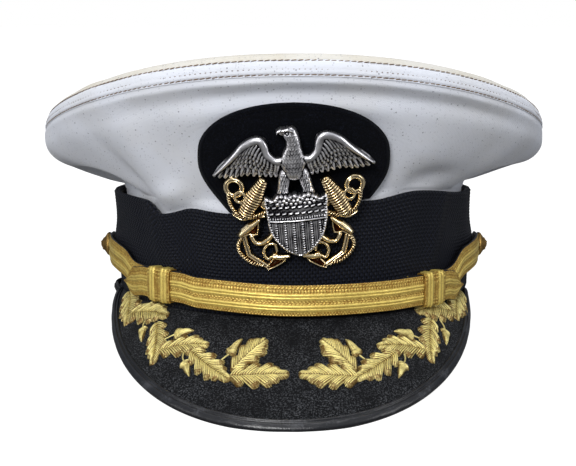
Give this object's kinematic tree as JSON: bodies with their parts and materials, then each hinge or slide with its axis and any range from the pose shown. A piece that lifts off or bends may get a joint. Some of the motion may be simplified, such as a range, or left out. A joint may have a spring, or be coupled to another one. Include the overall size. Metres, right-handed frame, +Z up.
{
  "type": "combination cap",
  "caption": "Naval officer's combination cap: wide white crown, black ribbed band, cast badge on a felt patch, gold chin strap and a black visor with raised gold oak leaves.",
  "frame": {"origin": "on the surface that the cap rests on, under the middle of its bounding box", "axes": "-Y to the front (the visor's side), +X to the right as seen from the front, +Z up; the cap rests tipped back on its visor's front edge and the back of its band"},
  "size_m": [0.2464, 0.3042, 0.1303],
  "materials": {
    "crown_cover": "white closely woven cloth, matt",
    "crown_panel": "white closely woven cloth gone slightly cream, stitched, matt",
    "ribbed_band": "near-black ribbed braid, faint sheen",
    "black_felt": "near-black wool felt, matt",
    "edge_leather": "black leather, semi-gloss with scuffs",
    "gold_lace": "woven gold metal lace, satin",
    "gold_thread": "pale gold metal-thread embroidery, satin",
    "silver_cast": "oxidised silver casting, bright on the high parts",
    "gold_cast": "polished gold casting, dark in the hollows",
    "button_brass": "antique gilt brass"
  },
  "bodies": {
    "root": {"hatband": "ribbed_band", "crown_side": "crown_cover", "crown_welt": "crown_panel", "crown_top": "crown_panel", "badge_patch": "black_felt", "badge_anchors": "gold_cast", "badge_eagle": "silver_cast", "visor": "black_felt", "visor_binding": "edge_leather", "chin_strap_front": "gold_lace", "chin_strap_left": "gold_lace", "keeper_left": "gold_lace", "button_left": "button_brass", "chin_strap_right": "gold_lace", "keeper_right": "gold_lace", "button_right": "button_brass", "oak_leaf_left_1": "gold_thread", "oak_leaf_left_2": "gold_thread", "oak_leaf_left_3": "gold_thread", "oak_leaf_left_4": "gold_thread", "oak_leaf_left_5": "gold_thread", "oak_leaf_left_6": "gold_thread", "oak_leaf_left_7": "gold_thread", "acorn_left_1": "gold_thread", "acorn_left_2": "gold_thread", "acorn_left_3": "gold_thread", "acorn_left_4": "gold_thread", "acorn_left_5": "gold_thread", "oak_leaf_right_1": "gold_thread", "oak_leaf_right_2": "gold_thread", "oak_leaf_right_3": "gold_thread", "oak_leaf_right_4": "gold_thread", "oak_leaf_right_5": "gold_thread", "oak_leaf_right_6": "gold_thread", "oak_leaf_right_7": "gold_thread", "acorn_right_2": "gold_thread", "acorn_right_3": "gold_thread", "acorn_right_4": "gold_thread", "acorn_right_5": "gold_thread"}
  },
  "joints": []
}
